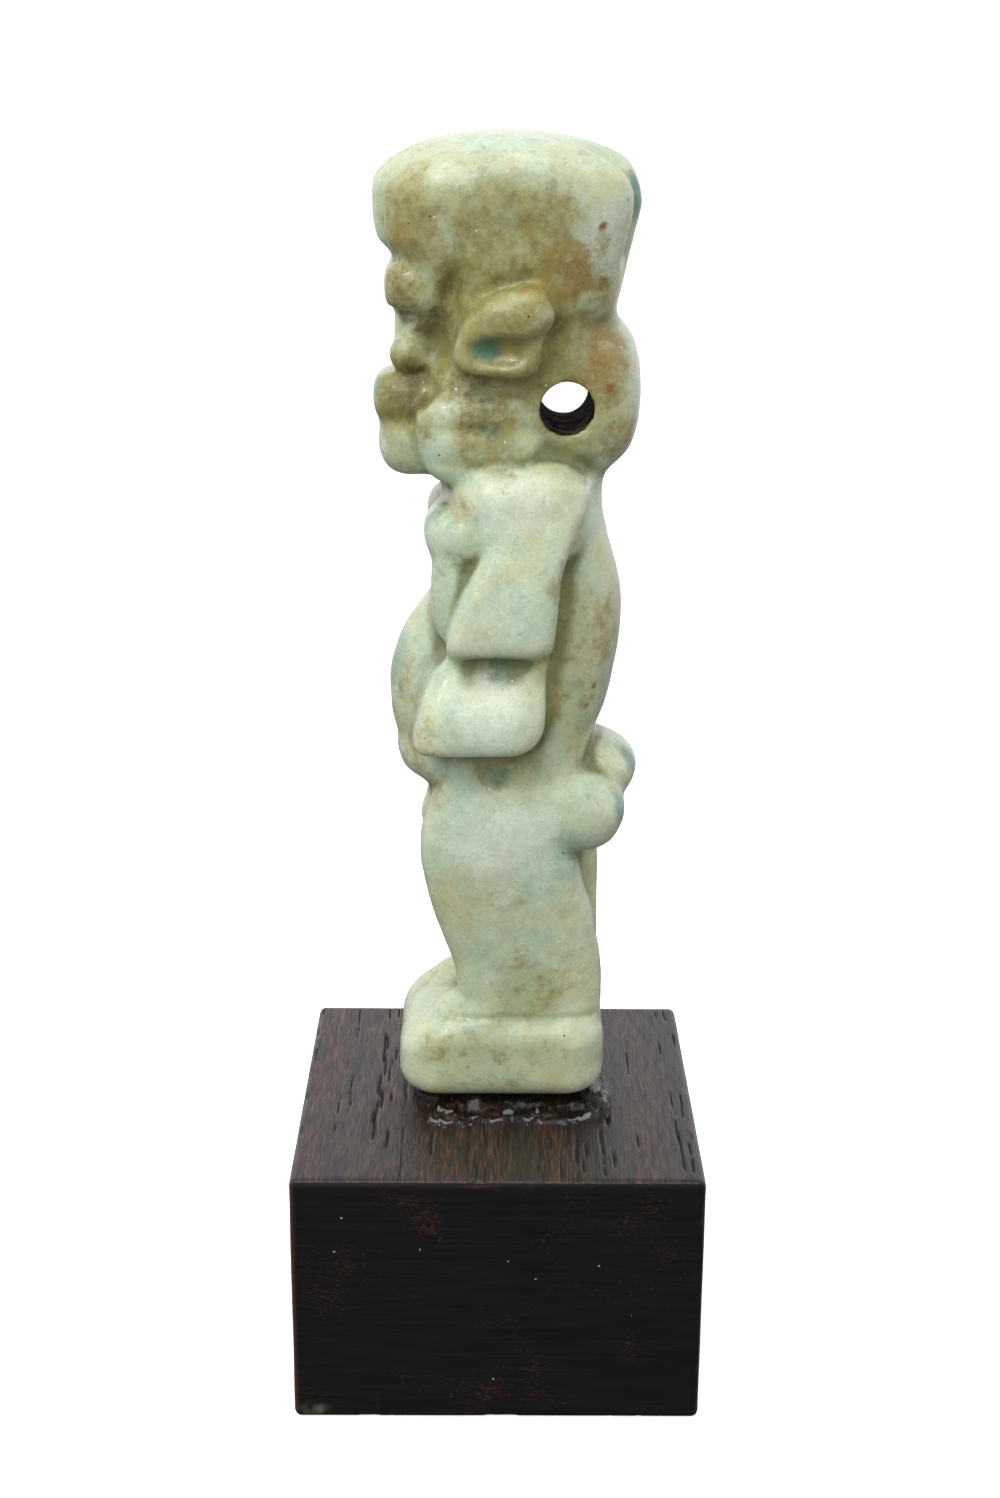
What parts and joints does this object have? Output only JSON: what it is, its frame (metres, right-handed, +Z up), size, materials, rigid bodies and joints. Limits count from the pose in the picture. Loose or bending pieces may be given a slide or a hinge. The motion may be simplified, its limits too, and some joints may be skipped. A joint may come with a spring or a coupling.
{
  "type": "faience amulet",
  "caption": "Pale green faience amulet of a maned dwarf god standing on a plinth, with a cord hole through its mane, glued to a dark wooden display block.",
  "frame": {"origin": "middle of the wooden block's underside", "axes": "+Z up, the figure faces -Y, and its left side, which the picture shows, is on +X"},
  "size_m": [0.019, 0.019, 0.058],
  "materials": {
    "faience": "pale green-turquoise glazed faience, satin and worn, with tan patina and pooled teal glaze",
    "wood": "dark hardwood with open pores, satin on top, sawn end grain in front",
    "glue": "clear dried glue, crinkled and shiny"
  },
  "bodies": {
    "root": {"wood_block": "wood", "glue": "glue", "amulet": "faience"}
  },
  "joints": []
}
